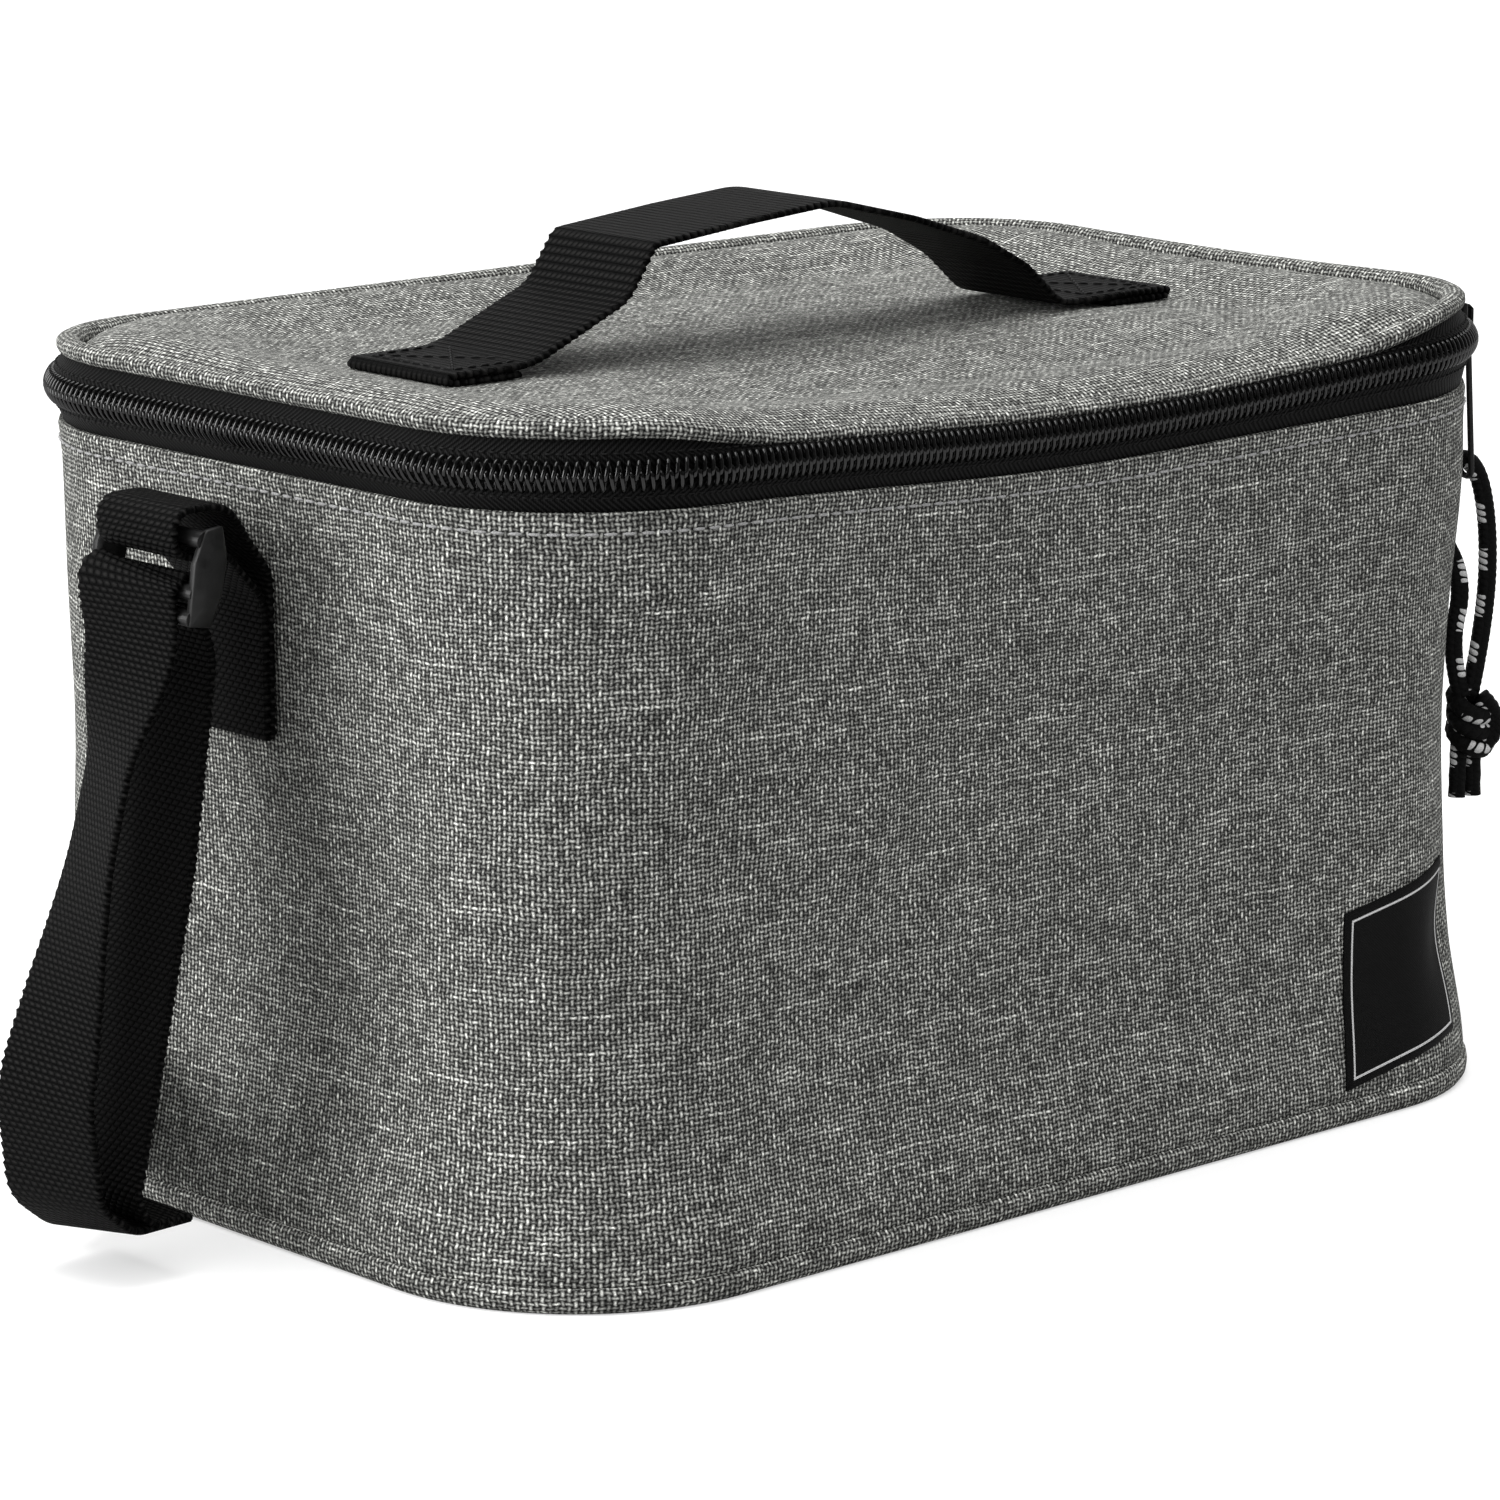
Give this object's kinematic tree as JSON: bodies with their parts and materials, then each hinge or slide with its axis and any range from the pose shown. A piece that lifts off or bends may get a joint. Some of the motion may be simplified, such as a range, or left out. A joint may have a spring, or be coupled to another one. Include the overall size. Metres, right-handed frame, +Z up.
{
  "type": "insulated lunch bag",
  "caption": "Soft insulated lunch bag with rounded corners, a zipped hinged lid, a webbing carry handle, a corded zipper pull and an adjustable shoulder strap.",
  "frame": {"origin": "centre of the flat base, where the bag stands", "axes": "+Z up, +X along the bag's length to the zipper pull's side, -Y to the front with the label"},
  "size_m": [0.3239, 0.18, 0.1859],
  "materials": {
    "melange_fabric": "coarse plain weave of light and dark grey yarns",
    "foam": "closed-cell foam",
    "foil": "soft silver film",
    "black_tape": "woven tape",
    "black_coil": "nylon coil",
    "label_cloth": "damask weave, bare",
    "black_webbing": "ribbed polyester webbing",
    "black_plastic": "satin moulded",
    "slider_metal": "black lacquer",
    "flecked_cord": "braided, with white flecks"
  },
  "bodies": {
    "bag": {"outer_wall": "melange_fabric", "bottom_panel": "melange_fabric", "wall_foam": "foam", "base_foam": "foam", "foil_liner": "foil", "mouth_binding": "black_tape", "zipper_tape_lower": "black_tape", "zipper_coil_lower": "black_coil", "hinge_panel": "melange_fabric", "front_label": "label_cloth", "strap_anchor": "black_webbing", "shoulder_strap": "black_webbing"},
    "lid": {"lid_border": "melange_fabric", "lid_binding": "black_tape", "lid_liner": "foil", "lid_top_panel": "melange_fabric", "lid_foam": "foam", "zipper_tape_upper": "black_tape", "zipper_coil_upper": "black_coil", "carry_handle": "black_webbing"},
    "slider": {"zipper_slider": "slider_metal"},
    "pull": {"wire_pull": "slider_metal"},
    "cord": {"pull_cord": "flecked_cord", "cord_knot": "flecked_cord", "cord_tails": "flecked_cord"},
    "adjuster": {"strap_adjuster": "black_plastic"}
  },
  "joints": [
    {"name": "lid_hinge", "type": "hinge", "parent": "bag", "child": "lid", "pos_m": [0, 0.086, 0.1535], "axis": [-1, 0, 0], "range_deg": [0, 110], "deforming": ["hinge_panel"]},
    {"name": "slider_travel", "type": "hinge", "parent": "bag", "child": "slider", "pos_m": [0.091, -0.045, 0.1535], "axis": [0, 0, 1], "range_deg": [-50, 16], "deforming": ["zipper_coil_lower", "zipper_coil_upper", "zipper_tape_lower", "zipper_tape_upper"]},
    {"name": "pull_swing", "type": "hinge", "parent": "slider", "child": "pull", "pos_m": [0.13627, -0.05971, 0.1535], "axis": [-0.309, -0.9511, 0], "range_deg": [0, 100]},
    {"name": "cord_swing", "type": "hinge", "parent": "pull", "child": "cord", "pos_m": [0.13627, -0.05971, 0.113], "axis": [-0.309, -0.9511, 0], "range_deg": [0, 60]},
    {"name": "adjuster_swing", "type": "hinge", "parent": "bag", "child": "adjuster", "pos_m": [-0.154, 0, 0.138], "axis": [0, 1, 0], "range_deg": [0, 95], "deforming": ["shoulder_strap"]}
  ]
}
